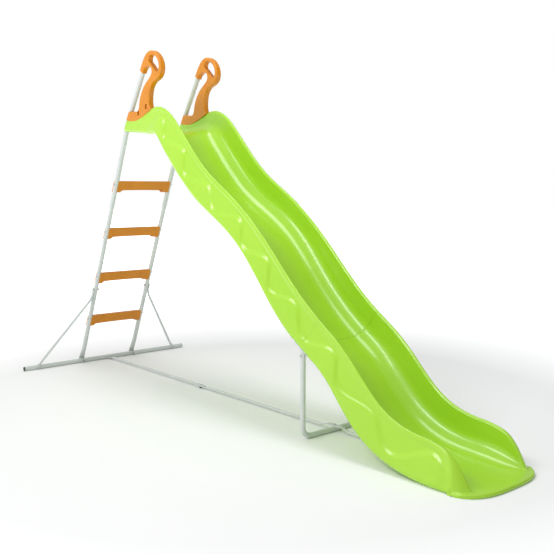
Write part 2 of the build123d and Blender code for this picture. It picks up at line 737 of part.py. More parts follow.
def ladder_fasteners(add, side):
    """Bolts, nuts and screws of one side of the ladder."""
    r = tube_od / 2
    forward = Vector(1, 0, 0)
    inward = Vector(0, -side, 0)
    leg_shank = foot_flat + tube_od + m8_spare
    brace_shank = brace_strap + tube_od + m8_spare
    add("leg_foot_bolts", bolt(Vector(-r - foot_flat, side * leg_y, r), forward, m8, leg_shank, *m8_head))
    add("leg_foot_nuts", nut(Vector(r, side * leg_y, r), forward, m8, *m8_nut, True))
    foot_seat = Vector(r + brace_strap, side * brace_foot_y, r)
    add("brace_foot_bolts", bolt(foot_seat, -forward, m8, brace_shank, *m8_head))
    add("brace_foot_nuts", nut(Vector(-r, side * brace_foot_y, r), -forward, m8, *m8_nut, True))
    top_seat = Vector(leg_axis_x(brace_bolt_z), side * (leg_y + r + brace_strap), brace_bolt_z)
    top_nut_seat = Vector(leg_axis_x(brace_bolt_z), side * (leg_y - r), brace_bolt_z)
    add("brace_top_bolts", bolt(top_seat, inward, m8, brace_shank, *m8_head))
    add("brace_top_nuts", nut(top_nut_seat, inward, m8, *m8_nut, True))
    for index in range(step_count):
        seat = step_bolt_point(index, side) - inward * r
        add("step_screws", bolt(seat, inward, m6, tube_od + 12, *m6_head))
    end_seat = chute_screw_point(side) - leg_normal() * r
    add("chute_end_screws", bolt(end_seat, leg_normal(), screw_d, r + chute_screw_depth - 1, *screw_head))
    for seat in handle_screw_seats(side):
        add("handle_screws", bolt(seat, Vector(0, 0, -1), screw_d, handle_screw_length, *screw_head))


def foot_fasteners(add):
    """Bolts, nuts and screws of the U-shaped foot and its bracket."""
    for side in sides.values():
        inward = Vector(0, -side, 0)
        outer_seat = foot_bolt_point(side) - inward * foot_od / 2
        inner_seat = foot_bolt_point(side) + inward * foot_od / 2
        add("support_bolts", bolt(outer_seat, inward, m6, foot_od + 6, *m6_head))
        add("support_nuts", nut(inner_seat, inward, m6, *m6_nut, True))
    for seat in seam_screw_points():
        add("seam_screws", bolt(seat, seam_up(), m6, seam_screw_length, 13, 4))


def strut_fasteners(add):
    """Bolts, nuts and screws of the ground struts."""
    down = Vector(0, 0, -1)
    tab_seat = Vector(tab_bolt_x, 0, strut_z)
    middle_seat = Vector(mid_joint_x, 0, strut_z + strap_thick)
    foot_seat = Vector(foot_x, 0, foot_strap + 2 * strap_thick)
    add("strut_bolts", bolt(tab_seat, down, m6, 13, *m6_head))
    add("strut_bolts", bolt(middle_seat, down, m6, 15, *m6_head))
    add("strut_bolts", bolt(foot_seat, down, m6, 18, *m6_head))
    add("strut_tab_nut", nut(Vector(tab_bolt_x, 0, low_strap - tab_thick), down, m6, 10, 7, True))
    add("strut_cap_nut", nut(Vector(mid_joint_x, 0, low_strap), down, m6, 14, 11.4, True))
    bore_r = foot_od / 2 - tube_wall
    insert_top = foot_od / 2 + math.sqrt(bore_r**2 - insert_radius**2)
    top = Vector(foot_x, 0, insert_top)
    bottom = Vector(foot_x, 0, insert_top - insert_length)
    add("strut_insert_nut", rod(top, bottom, insert_radius) - rod(top, bottom, m6 / 2))
    front_seat = Vector(front_joint_x, 0, strut_z)
    add("strut_front_screw", bolt(front_seat, Vector(0, 0, 1), m6, 15, *m6_head))


def make_fasteners():
    """Each entry is one node: a list of separate solids."""
    groups = {}

    def add(name, shape):
        groups.setdefault(name, []).append(shape)

    for side in sides.values():
        ladder_fasteners(add, side)
    foot_fasteners(add)
    strut_fasteners(add)
    return groups


def export_part(name, shape):
    """One STEP file for one node, moved to the frame of the finished object."""
    if isinstance(shape, list):
        shape = Compound(children=[solid for piece in shape for solid in piece.solids()])
    moved = Pos(-slide_centre, 0, 0) * shape
    export_step(moved, "parts/" + name + ".step")


def main():
    os.makedirs("parts", exist_ok=True)
    chute_block = make_chute()
    upper, lower = make_chute_halves(chute_block)
    nodes = {
        "base_tube": make_base_tube(),
        "upper_chute": upper,
        "lower_chute": lower,
        "seam_plate": make_seam_plate(),
        "support_foot": make_support_foot(),
    }
    for name, side in sides.items():
        nodes["base_end_cap_" + name] = make_end_cap(side)
        nodes["ladder_leg_lower_" + name] = make_lower_leg(side)
        nodes["ladder_leg_upper_" + name] = make_upper_leg(side)
        nodes["brace_" + name] = make_brace(side)
        nodes["handle_" + name] = make_handle(side, chute_block)
    for index in range(step_count):
        nodes["step_" + str(index + 1)] = make_step(index)
    for name, ends in strut_ends.items():
        nodes[name] = make_strut(*ends)
    nodes.update(make_fasteners())
    for name, shape in nodes.items():
        export_part(name, shape)


if __name__ == "__main__":
    main()
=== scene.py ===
import json
import math
import bmesh
import bpy
import numpy as np
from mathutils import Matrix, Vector


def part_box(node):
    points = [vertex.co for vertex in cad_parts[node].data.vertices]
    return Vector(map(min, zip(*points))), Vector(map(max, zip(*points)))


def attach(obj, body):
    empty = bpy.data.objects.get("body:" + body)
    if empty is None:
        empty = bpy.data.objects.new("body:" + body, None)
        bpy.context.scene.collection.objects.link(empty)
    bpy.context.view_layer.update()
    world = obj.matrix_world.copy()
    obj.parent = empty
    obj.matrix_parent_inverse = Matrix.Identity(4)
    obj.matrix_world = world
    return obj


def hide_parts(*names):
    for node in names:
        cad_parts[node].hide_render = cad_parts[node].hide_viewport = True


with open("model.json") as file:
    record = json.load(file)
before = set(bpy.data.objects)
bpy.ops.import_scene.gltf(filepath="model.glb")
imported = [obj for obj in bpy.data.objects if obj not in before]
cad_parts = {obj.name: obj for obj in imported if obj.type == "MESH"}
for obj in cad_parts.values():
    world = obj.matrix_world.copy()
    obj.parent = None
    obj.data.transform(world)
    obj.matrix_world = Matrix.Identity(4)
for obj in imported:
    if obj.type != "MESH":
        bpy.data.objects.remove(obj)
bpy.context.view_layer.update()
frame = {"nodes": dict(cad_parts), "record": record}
nodes = frame["nodes"]
scene = bpy.context.scene
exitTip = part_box("lower_chute")[1].x
print("frame loaded,", len(nodes), "nodes")


def splineThrough(knots, values, at):
    # Natural cubic spline: the second derivatives at the knots solve one banded system, and each span is
    # value + slope*t + bend*t^2/2 + change of bend*t^3/6, for all the places in `at` together.
    x = np.asarray(knots, float)
    y = np.asarray(values, float).reshape(len(x), -1)
    h = np.diff(x)[:, None]
    slope = np.diff(y, axis=0) / h
    inner = np.arange(1, len(x) - 1)
    system = np.eye(len(x))
    system[inner, inner - 1] = h[:-1, 0]
    system[inner, inner] = 2 * (h[:-1, 0] + h[1:, 0])
    system[inner, inner + 1] = h[1:, 0]
    load = np.zeros_like(y)
    load[1:-1] = 6 * np.diff(slope, axis=0)
    bend = np.linalg.solve(system, load)
    i = np.clip(np.searchsorted(x, at, side="right") - 1, 0, len(x) - 2)
    t = (np.asarray(at) - x[i])[:, None]
    lean = slope[i] - h[i] * (2 * bend[i] + bend[i + 1]) / 6
    return y[i] + t * lean + t**2 * bend[i] / 2 + t**3 * (bend[i + 1] - bend[i]) / (6 * h[i])


def easeStep(value, low, high):
    # 3t^2 - 2t^3 of the share of the way from low to high
    t = np.clip((value - low) / (high - low), 0, 1)
    return t * t * (3 - 2 * t)


def roundedPath(corners, radii, runCounts, arcCounts, most=0.47):
    # A line through corners with each one rounded, for all sections together: corners are (section, 2)
    # arrays. An arc's tangent length is radius*tan(turn/2), and at most a share `most` of the shorter run.
    most = np.broadcast_to(most, len(radii))
    pieces = []
    start = corners[0]
    for i, radius in enumerate(radii):
        before, corner, after = corners[i], corners[i + 1], corners[i + 2]
        runIn, runOut = corner - before, after - corner
        lengthIn = np.linalg.norm(runIn, axis=1, keepdims=True) + 1e-9
        lengthOut = np.linalg.norm(runOut, axis=1, keepdims=True) + 1e-9
        runIn, runOut = runIn / lengthIn, runOut / lengthOut
        cross = runIn[:, :1] * runOut[:, 1:] - runIn[:, 1:] * runOut[:, :1]
        turn = np.arccos(np.clip((runIn * runOut).sum(1, keepdims=True), -1, 1))
        half = np.maximum(np.tan(turn / 2), 1e-5)
        reach = np.minimum(np.reshape(radius, (-1, 1)) * half, most[i] * np.minimum(lengthIn, lengthOut))
        arcRadius = reach / half
        side = np.sign(cross) * np.concatenate([-runIn[:, 1:], runIn[:, :1]], 1)
        arcStart = corner - runIn * reach
        along = np.arange(runCounts[i])[None, :, None] / runCounts[i]
        pieces.append(start[:, None] + (arcStart - start)[:, None] * along)
        angle = turn[:, None] * np.arange(arcCounts[i])[None, :, None] / arcCounts[i]
        sweep = (arcRadius * runIn)[:, None] * np.sin(angle) - (arcRadius * side)[:, None] * np.cos(angle)
        pieces.append((arcStart + side * arcRadius)[:, None] + sweep)
        start = corner + runOut * reach
    along = np.linspace(0, 1, runCounts[-1])[None, :, None]
    pieces.append(start[:, None] + (corners[-1] - start)[:, None] * along)
    return np.concatenate(pieces, 1)


def buildMesh(name, points, faces, uv=None):
    mesh = bpy.data.meshes.new(name)
    mesh.from_pydata(points.reshape(-1, 3).tolist(), [], faces)
    if uv is not None:
        layer = mesh.uv_layers.new(name="surface")
        corner = np.zeros(len(mesh.loops), np.int32)
        mesh.loops.foreach_get("vertex_index", corner)
        layer.data.foreach_set("uv", uv.reshape(-1, 2)[corner].astype(np.float32).ravel())
    mesh.polygons.foreach_set("use_smooth", np.ones(len(mesh.polygons), bool))
    made = bpy.data.objects.new(name, mesh)
    scene.collection.objects.link(made)
    return made


def cleanMesh(made, mergeAt=1e-6):
    work = bmesh.new()
    work.from_mesh(made.data)
    bmesh.ops.remove_doubles(work, verts=work.verts, dist=mergeAt)
    bmesh.ops.dissolve_degenerate(work, edges=work.edges, dist=mergeAt)
    bmesh.ops.recalc_face_normals(work, faces=work.faces)
    work.to_mesh(made.data)
    work.free()


studio = {
    "cameraAt": (3.252, -2.642, 1.154),
    "turn": 49.232,
    "tilt": 6.29,
    "lens": 51.98,
    "backdrop": (1.0, 1.0, 1.0),
    "skyTint": (0.985, 0.995, 1.0),
    "skyMiddle": 0.50,
    "skySwing": 0.44,
    "skyBrightSide": (-0.62, -0.72, 0.32),
    "topPanel": {"at": (0.2, 0.1, 4.8), "aim": (0.2, 0.0, 0.8), "size": (3.6, 1.2), "power": 64},
    "sideStrip": {"at": (0.3, -4.0, 4.2), "aim": (0.3, 0.0, 0.8), "size": (3.8, 0.45), "power": 80},
    "floorHalf": 40,
    "floorColour": (0.93, 0.93, 0.935),
    "floorShade": (0.916, 0.916, 0.921),
    "floorGlow": (0.02, 1.1),
    "floorGlowReach": (1.7, 5.0),
}
cameraData = bpy.data.cameras.new("slideCamera")
cameraData.lens = studio["lens"]
cameraData.sensor_width = 36
cameraData.clip_end = 200
camera = bpy.data.objects.new("slideCamera", cameraData)
camera.location = studio["cameraAt"]
camera.rotation_euler = (math.radians(90 - studio["tilt"]), 0, math.radians(studio["turn"]))
scene.collection.objects.link(camera)
scene.camera = camera
scene.view_settings.view_transform = "Standard"


def addAreaLight(name):
    values = studio[name]
    data = bpy.data.lights.new(name, "AREA")
    data.shape = "RECTANGLE"
    data.size, data.size_y = values["size"]
    data.energy = values["power"]
    light = bpy.data.objects.new(name, data)
    light.location = values["at"]
    away = light.location - Vector(values["aim"])
    light.rotation_euler = away.to_track_quat("Z", "Y").to_euler()
    scene.collection.objects.link(light)


def makeSky():
    # The backdrop is plain. The light that reaches the object is brighter from one side:
    # middle + swing * (direction . bright side)
    world = bpy.data.worlds.new("studioSky")
    world.use_nodes = True
    tree = world.node_tree
    shown = tree.nodes["Background"]
    shown.inputs["Color"].default_value = (*studio["backdrop"], 1)
    lit = tree.nodes.new("ShaderNodeBackground")
    lit.inputs["Color"].default_value = (*studio["skyTint"], 1)
    place = tree.nodes.new("ShaderNodeTexCoord")
    dot = tree.nodes.new("ShaderNodeVectorMath")
    dot.operation = "DOT_PRODUCT"
    dot.inputs[1].default_value = studio["skyBrightSide"]
    tree.links.new(place.outputs["Generated"], dot.inputs[0])
    level = tree.nodes.new("ShaderNodeMath")
    level.operation = "MULTIPLY_ADD"
    level.inputs[1].default_value = studio["skySwing"]
    level.inputs[2].default_value = studio["skyMiddle"]
    tree.links.new(dot.outputs["Value"], level.inputs[0])
    tree.links.new(level.outputs[0], lit.inputs["Strength"])
    choose = tree.nodes.new("ShaderNodeMixShader")
    ray = tree.nodes.new("ShaderNodeLightPath")
    tree.links.new(ray.outputs["Is Camera Ray"], choose.inputs[0])
    tree.links.new(lit.outputs[0], choose.inputs[1])
    tree.links.new(shown.outputs[0], choose.inputs[2])
    tree.links.new(choose.outputs[0], tree.nodes["World Output"].inputs["Surface"])
    scene.world = world


makeSky()
addAreaLight("topPanel")
addAreaLight("sideStrip")
floorCorners = np.array([(-1, -1, 0), (1, -1, 0), (1, 1, 0), (-1, 1, 0)], float)
floor = buildMesh("studioFloor", floorCorners * studio["floorHalf"], [(0, 1, 2, 3)])
print("studio ready")


def newGroup(name, inputs, outputs):
    group = bpy.data.node_groups.new(name, "ShaderNodeTree")
    for label, kind, value in inputs:
        socket = group.interface.new_socket(name=label, in_out="INPUT", socket_type="NodeSocket" + kind)
        if kind != "Vector":
            socket.default_value = value
    for label, kind in outputs:
        group.interface.new_socket(name=label, in_out="OUTPUT", socket_type="NodeSocket" + kind)
    return group, group.nodes.new("NodeGroupInput"), group.nodes.new("NodeGroupOutput")


def addNode(tree, kind, settings=None, **values):
    node = tree.nodes.new("ShaderNode" + kind)
    for key, value in (settings or {}).items():
        setattr(node, key, value)
    for key, value in values.items():
        socket = node.inputs[int(key[1:])] if key[0] == "i" and key[1:].isdigit() else node.inputs[key]
        if isinstance(value, bpy.types.NodeSocket):
            tree.links.new(value, socket)
        else:
            socket.default_value = value
    return node


def multiply(tree, first, second):
    return addNode(tree, "Math", {"operation": "MULTIPLY"}, i0=first, i1=second).outputs[0]


def mixInto(tree, base, tone, amount):
    return addNode(tree, "Mix", {"data_type": "RGBA"}, i0=amount, i6=base, i7=tone).outputs[2]


def mouldSkinGroup():
    # Fine grain over broad waves of the skin: two noises added into one height, and their product as a mask
    group, inn, out = newGroup(
        "mouldSkin",
        [
            ("Grain Scale", "Float", 900.0),
            ("Grain Height", "Float", 0.3),
            ("Wave Scale", "Float", 9.0),
            ("Wave Height", "Float", 0.7),
        ],
        [("Height", "Float"), ("Mask", "Float")],
    )
    place = addNode(group, "TexCoord").outputs["Object"]
    grain = addNode(group, "TexNoise", Vector=place, Scale=inn.outputs["Grain Scale"], Detail=3.0)
    wave = addNode(group, "TexNoise", Vector=place, Scale=inn.outputs["Wave Scale"], Detail=1.0)
    fine = multiply(group, grain.outputs[0], inn.outputs["Grain Height"])
    broad = multiply(group, wave.outputs[0], inn.outputs["Wave Height"])
    both = addNode(group, "Math", {"operation": "ADD"}, i0=broad, i1=fine)
    group.links.new(both.outputs[0], out.inputs["Height"])
    group.links.new(multiply(group, grain.outputs[0], wave.outputs[0]), out.inputs["Mask"])
    return group


def colourDriftGroup():
    # Two tones blended by a broad cloudy noise
    group, inn, out = newGroup(
        "colourDrift",
        [("Tone A", "Color", (1, 1, 1, 1)), ("Tone B", "Color", (1, 1, 1, 1)), ("Scale", "Float", 3.0)],
        [("Color", "Color"), ("Mask", "Float")],
    )
    place = addNode(group, "TexCoord").outputs["Object"]
    cloud = addNode(group, "TexNoise", Vector=place, Scale=inn.outputs["Scale"], Detail=5.0, Roughness=0.6)
    spread = addNode(group, "MapRange", {"clamp": True}, Value=cloud.outputs[0], i1=0.3, i2=0.7)
    blend = mixInto(group, inn.outputs["Tone A"], inn.outputs["Tone B"], spread.outputs[0])
    group.links.new(blend, out.inputs["Color"])
    group.links.new(spread.outputs[0], out.inputs["Mask"])
    return group


def scuffGroup():
    # Hairline scuffs: a noise stretched along one direction of the given coordinate, kept where it peaks
    group, inn, out = newGroup(
        "scuffs",
        [
            ("Vector", "Vector", None),
            ("Across", "Float", 260.0),
            ("Along", "Float", 6.0),
            ("Amount", "Float", 0.5),
        ],
        [("Mask", "Float")],
    )
    across, along = inn.outputs["Across"], inn.outputs["Along"]
    size = addNode(group, "CombineXYZ", X=across, Y=along, Z=across).outputs[0]
    place = addNode(group, "VectorMath", {"operation": "MULTIPLY"}, i0=inn.outputs["Vector"], i1=size)
    hair = addNode(group, "TexNoise", Vector=place.outputs[0], Scale=1.0, Detail=4.0, Roughness=0.7)
    patch = addNode(group, "TexNoise", Vector=inn.outputs["Vector"], Scale=5.0, Detail=2.0)
    peak = addNode(group, "MapRange", {"clamp": True}, Value=hair.outputs[0], i1=0.60, i2=0.72)
    where = addNode(group, "MapRange", {"clamp": True}, Value=patch.outputs[0], i1=0.45, i2=0.65)
    both = multiply(group, peak.outputs[0], where.outputs[0])
    group.links.new(multiply(group, both, inn.outputs["Amount"]), out.inputs["Mask"])
    return group


def edgeRubGroup():
    # How much the softened normal differs from the true one: near 0 on a face, 1 on a sharp edge
    group, inn, out = newGroup(
        "edgeRub", [("Width", "Float", 0.003), ("Amount", "Float", 1.0)], [("Mask", "Float")]
    )
    soft = addNode(group, "Bevel", {"samples": 4}, Radius=inn.outputs["Width"])
    true = addNode(group, "NewGeometry").outputs["Normal"]
    dot = addNode(group, "VectorMath", {"operation": "DOT_PRODUCT"}, i0=soft.outputs[0], i1=true)
    edge = addNode(group, "MapRange", {"clamp": True}, Value=dot.outputs["Value"], i1=0.98, i2=0.80)
    place = addNode(group, "TexCoord").outputs["Object"]
    breakUp = addNode(group, "TexNoise", Vector=place, Scale=160.0, Detail=3.0)
    patchy = multiply(group, edge.outputs[0], breakUp.outputs[0])
    group.links.new(multiply(group, patchy, inn.outputs["Amount"]), out.inputs["Mask"])
    return group


mouldSkin = mouldSkinGroup()
colourDrift = colourDriftGroup()
scuffs = scuffGroup()
edgeRub = edgeRubGroup()


def placeGroup(tree, group, **values):
    node = tree.nodes.new("ShaderNodeGroup")
    node.node_tree = group
    for key, value in values.items():
        socket = node.inputs[key.replace("_", " ")]
        if isinstance(value, bpy.types.NodeSocket):
            tree.links.new(value, socket)
        else:
            socket.default_value = value
    return node


def newFinish(name, **fixed):
    material = bpy.data.materials.new(name)
    material.use_nodes = True
    tree = material.node_tree
    shader = tree.nodes["Principled BSDF"]
    for key, value in fixed.items():
        shader.inputs[key.replace("_", " ")].default_value = value
    return material, tree, shader


def driftingTone(tree, look):
    toneA, toneB = look["toneA"], look["toneB"]
    return placeGroup(tree, colourDrift, Tone_A=toneA, Tone_B=toneB, Scale=look["drift"]).outputs["Color"]


def addSkin(tree, shader, look, extraMask=None):
    # Grain and waves give the bump, and their mask, with any other one added, spreads the roughness
    grainScale, grainHeight, waveScale, waveHeight = look["skin"]
    skin = placeGroup(
        tree,
        mouldSkin,
        Grain_Scale=grainScale,
        Grain_Height=grainHeight,
        Wave_Scale=waveScale,
        Wave_Height=waveHeight,
    )
    mask = skin.outputs["Mask"]
    if extraMask:
        mask = addNode(tree, "Math", {"operation": "ADD"}, i0=mask, i1=extraMask).outputs[0]
    low, high = look["gloss"]
    rough = addNode(tree, "MapRange", {"clamp": True}, Value=mask, i3=low, i4=high)
    tree.links.new(rough.outputs[0], shader.inputs["Roughness"])
    strength, distance = look["bump"]
    bump = addNode(tree, "Bump", Height=skin.outputs["Height"], Strength=strength, Distance=distance)
    tree.links.new(bump.outputs["Normal"], shader.inputs["Normal"])


def addRubbedTone(tree, shader, look):
    # The drifting tone, and another tone along the edges
    width, amount = look["rub"]
    rub = placeGroup(tree, edgeRub, Width=width, Amount=amount)
    tone = mixInto(tree, driftingTone(tree, look), look["edge"], rub.outputs["Mask"])
    tree.links.new(tone, shader.inputs["Base Color"])


limeFinish = {
    "toneA": (0.370, 0.685, 0.022, 1),
    "toneB": (0.405, 0.720, 0.034, 1),
    "drift": 2.2,
    "rubbed": (0.52, 0.80, 0.14, 1),
    "scuffs": (240.0, 3.0, 0.35),
    "skin": (700.0, 0.12, 14.0, 0.8),
    "gloss": (0.20, 0.34),
    "bump": (0.35, 0.002),
}


def makeLime():
    look = limeFinish
    material, tree, shader = newFinish("limeChutePlastic", IOR=1.5, Coat_Weight=0.35, Coat_Roughness=0.16)
    path = addNode(tree, "UVMap", {"uv_map": "surface"}).outputs[0]
    across, along, amount = look["scuffs"]
    hair = placeGroup(tree, scuffs, Vector=path, Across=across, Along=along, Amount=amount).outputs["Mask"]
    tone = mixInto(tree, driftingTone(tree, look), look["rubbed"], hair)
    tree.links.new(tone, shader.inputs["Base Color"])
    addSkin(tree, shader, look, hair)
    return material


orangeFinish = {
    "toneA": (0.650, 0.222, 0.002, 1),
    "toneB": (0.710, 0.255, 0.004, 1),
    "drift": 12.0,
    "edge": (0.80, 0.36, 0.05, 1),
    "rub": (0.003, 0.8),
    "skin": (1400.0, 0.8, 40.0, 0.25),
    "gloss": (0.36, 0.55),
    "bump": (0.30, 0.0006),
}


def makeOrange():
    material, tree, shader = newFinish("orangeGripPlastic", IOR=1.48)
    addRubbedTone(tree, shader, orangeFinish)
    addSkin(tree, shader, orangeFinish)
    return material


lacquerFinish = {
    "toneA": (0.60, 0.635, 0.625, 1),
    "toneB": (0.66, 0.695, 0.685, 1),
    "drift": 6.0,
    "edge": (0.55, 0.56, 0.57, 1),
    "rub": (0.002, 0.7),
    "skin": (480.0, 0.6, 60.0, 0.3),
    "gloss": (0.22, 0.38),
    "bump": (0.25, 0.0005),
}


def makeLacquer():
    material, tree, shader = newFinish("whiteTubeLacquer", IOR=1.5, Coat_Weight=0.2, Coat_Roughness=0.15)
    addRubbedTone(tree, shader, lacquerFinish)
    addSkin(tree, shader, lacquerFinish)
    return material


blackFinish = {
    "toneA": (0.012, 0.012, 0.013, 1),
    "toneB": (0.028, 0.028, 0.030, 1),
    "drift": 60.0,
    "skin": (1800.0, 0.9, 90.0, 0.2),
    "gloss": (0.42, 0.62),
    "bump": (0.4, 0.0005),
}


def makeBlack():
    material, tree, shader = newFinish("blackCapPlastic", IOR=1.47)
    tree.links.new(driftingTone(tree, blackFinish), shader.inputs["Base Color"])
    addSkin(tree, shader, blackFinish)
    return material


zincFinish = {
    "toneA": (0.46, 0.47, 0.48, 1),
    "toneB": (0.62, 0.62, 0.60, 1),
    "drift": 90.0,
    "edge": (0.78, 0.78, 0.76, 1),
    "rub": (0.0008, 1.0),
    "skin": (2200.0, 0.7, 200.0, 0.4),
    "gloss": (0.22, 0.45),
    "bump": (0.3, 0.0003),
}


def makeZinc():
    material, tree, shader = newFinish("zincFastenerSteel", Metallic=1.0)
    addRubbedTone(tree, shader, zincFinish)
    addSkin(tree, shader, zincFinish)
    return material


def makeFloorPaper():
    material, tree, shader = newFinish("studioPaper", Specular_IOR_Level=0.1, Roughness=0.7)
    look = {"toneA": (*studio["floorColour"], 1), "toneB": (*studio["floorShade"], 1), "drift": 0.6}
    tree.links.new(driftingTone(tree, look), shader.inputs["Base Color"])
    shader.inputs["Emission Color"].default_value = (1, 1, 1, 1)
    # the paper gets lighter with distance, so that it runs into the backdrop
    place = addNode(tree, "TexCoord").outputs["Object"]
    away = addNode(tree, "VectorMath", {"operation": "LENGTH"}, i0=place).outputs["Value"]
    near, far = studio["floorGlowReach"]
    low, high = studio["floorGlow"]
    glow = addNode(tree, "MapRange", {"clamp": True}, Value=away, i1=near, i2=far, i3=low, i4=high)
    tree.links.new(glow.outputs[0], shader.inputs["Emission Strength"])
    return material


finishes = {
    "lime_plastic": makeLime(),
    "orange_plastic": makeOrange(),
    "white_lacquer": makeLacquer(),
    "black_plastic": makeBlack(),
    "zinc_steel": makeZinc(),
}


def assign(made, material):
    made.data.materials.clear()
    made.data.materials.append(material)


assign(floor, makeFloorPaper())
for part in frame["record"]["subparts"]:
    for slot in nodes[part["node"]].material_slots:
        slot.material = finishes[part["material_slot"]]
print("finishes assigned")


# One row for each place along the rim: x, height of the rim, lean of the section in degrees, depth from the
# rim to the underside, and drop from the rim to the sliding floor. x starts at the axis of the base tube.
chute = {
    "tipX": 3.176,
    "rows": [
        (0.658, 1.550, 23.7, 0.069, 0.050),
        (0.705, 1.549, 9, 0.069, 0.050),
        (0.760, 1.549, 1, 0.073, 0.052),
        (0.840, 1.569, 0, 0.101, 0.078),
        (0.910, 1.596, 0, 0.136, 0.108),
        (0.976, 1.608, 0, 0.154, 0.132),
        (1.045, 1.594, 15, 0.159, 0.143),
        (1.112, 1.558, 30, 0.163, 0.148),
        (1.192, 1.486, 43, 0.166, 0.150),
        (1.285, 1.391, 46, 0.165, 0.150),
        (1.380, 1.299, 41, 0.162, 0.150),
        (1.485, 1.218, 35, 0.161, 0.149),
        (1.610, 1.142, 33, 0.158, 0.145),
        (1.745, 1.052, 37, 0.151, 0.138),
        (1.880, 0.941, 41, 0.151, 0.138),
        (2.010, 0.816, 44, 0.162, 0.146),
        (2.145, 0.685, 41, 0.173, 0.152),
        (2.285, 0.573, 34, 0.172, 0.153),
        (2.395, 0.496, 38, 0.166, 0.150),
        (2.500, 0.404, 45, 0.164, 0.149),
        (2.592, 0.311, 42, 0.170, 0.150),
        (2.690, 0.234, 27, 0.173, 0.150),
        (2.800, 0.191, 13, 0.173, 0.148),
        (2.915, 0.176, 3, 0.175, 0.143),
        (3.050, 0.176, 0, 0.176, 0.155),
        (3.176, 0.176, 0, 0.176, 0.160),
    ],
    "seamRow": 17,
    "seamGap": 0.0008,
    "rimHalf": [(0.658, 0.208), (0.80, 0.206), (0.95, 0.201), (1.10, 0.200), (3.176, 0.200)],
    "innerHalf": [(0.658, 0.171), (0.78, 0.173), (0.90, 0.182), (1.05, 0.185), (3.176, 0.185)],
    "flankHalf": [
        (0.658, 0.209),
        (0.84, 0.213),
        (0.98, 0.223),
        (1.19, 0.235),
        (2.40, 0.235),
        (2.80, 0.246),
        (3.0, 0.248),
        (3.176, 0.2485),
    ],
    # the rim's fall at the exit: x and height, then steeper than the line's end by this slope
    "exitLine": [
        (2.880, 0.180),
        (2.915, 0.175),
        (2.960, 0.165),
        (3.008, 0.146),
        (3.048, 0.107),
        (3.078, 0.062),
        (3.098, 0.026),
    ],
    "exitSlope": 1.3,
    "lipThick": 0.016,
    "lipStart": 2.98,
    "lipLevel": (2.95, 3.12),
    "lipSide": {"x": 3.045, "half": 0.2490, "power": 3.3, "wallY": 0.2},
    "rimRound": (0.008, 0.035),
    "rimApex": (0.45, 0.39),
    "rimFading": (2.93, 3.06),
    "crestRound": 0.008,
    "bevelRound": 0.010,
    "baseRound": 0.016,
    "floorRound": 0.088,
    "floorRoundShare": 0.62,
    "wallLean": 0.06,
    "floorDish": 0.004,
    "floorDishEnd": (2.9, 3.05),
    "flare": 0.007,
    "flareDepth": 0.009,
    "stepLength": 0.009,
    "waveCrests": [0.10, 0.41, 0.709, 0.983, 1.304, 1.593, 1.860, 2.173, 2.493, 2.80, 3.10],
    "waveValleyShare": 0.42,
    "waveDepths": (0.045, 0.118),
    "waveHeight": 0.0095,
    "waveWidth": 0.027,
    "waveSunkShare": 0.45,
    "waveFades": {
        "rim": (0.012, 0.030),
        "base": (0.004, 0.022),
        "flank": (0.19, 0.20),
        "start": (0.16, 0.34),
        "end": (2.98, 3.06),
    },
    "plateRecess": (0.0605, 0.0032),
    "bossX": 2.735,
    "bossSpan": (0.0201, 0.046),
    "bossRadius": 0.015,
    "edge": {"width": 0.0012, "segments": 2, "degrees": 55},
}
chuteShift = exitTip - chute["tipX"]


def byX(pairs, x):
    pairs = np.array(pairs)
    return np.interp(x, pairs[:, 0], pairs[:, 1])


def waveLine(s):
    # Depth of the moulded wave below the rim: from each crest it falls along sin^2 to its valley and then
    # climbs along cos^2 to the next crest, with the valley before the middle of the span.
    crests = np.array(chute["waveCrests"])
    i = np.clip(np.searchsorted(crests, s, side="right") - 1, 0, len(crests) - 2)
    share = np.clip((s - crests[i]) / (crests[i + 1] - crests[i]), 0, 1)
    f = chute["waveValleyShare"]
    fall = np.sin(np.pi / 2 * np.clip(share / f, 0, 1)) ** 2
    climb = np.cos(np.pi / 2 * np.clip((share - f) / (1 - f), 0, 1)) ** 2
    high, low = chute["waveDepths"]
    return high + (low - high) * np.where(share < f, fall, climb)


def lipFrontX(y):
    # the lip's front edge: side + reach * (1 - (|y| / half width)^power)^(1/2)
    side = chute["lipSide"]
    reach = chute["tipX"] - side["x"]
    return side["x"] + reach * np.sqrt(np.clip(1 - (np.abs(y) / side["half"]) ** side["power"], 0, 1))


def lipShare(x):
    # 0 where the lip starts and 1 at its tip
    return np.clip(x - chute["lipStart"], 0, None) / (chute["tipX"] - chute["lipStart"])


def exitCut(x, rimZ):
    # How far the side walls are cut down below the rim line towards the exit, as a negative height
    share = lipShare(x)
    wallEnd = lipFrontX(chute["lipSide"]["wallY"])
    wallX = np.where(share > 0, chute["lipStart"] + share * (wallEnd - chute["lipStart"]), x)
    line = np.array(chute["exitLine"])
    falling = splineThrough(line[:, 0], line[:, 1], np.clip(wallX, line[0, 0], line[-1, 0]))[:, 0]
    falling = falling - chute["exitSlope"] * np.clip(wallX - line[-1, 0], 0, None)
    return np.where(wallX > line[0, 0], np.minimum(falling - rimZ, 0), 0)


def floorDrop(x, rimZ, drop):
    # From the rim to the floor, which runs level at the lip's thickness near the exit
    floorZ = rimZ - drop
    level = floorZ + (chute["lipThick"] - floorZ) * easeStep(x, *chute["lipLevel"])
    return np.where(x > chute["lipLevel"][0], rimZ - level, drop)


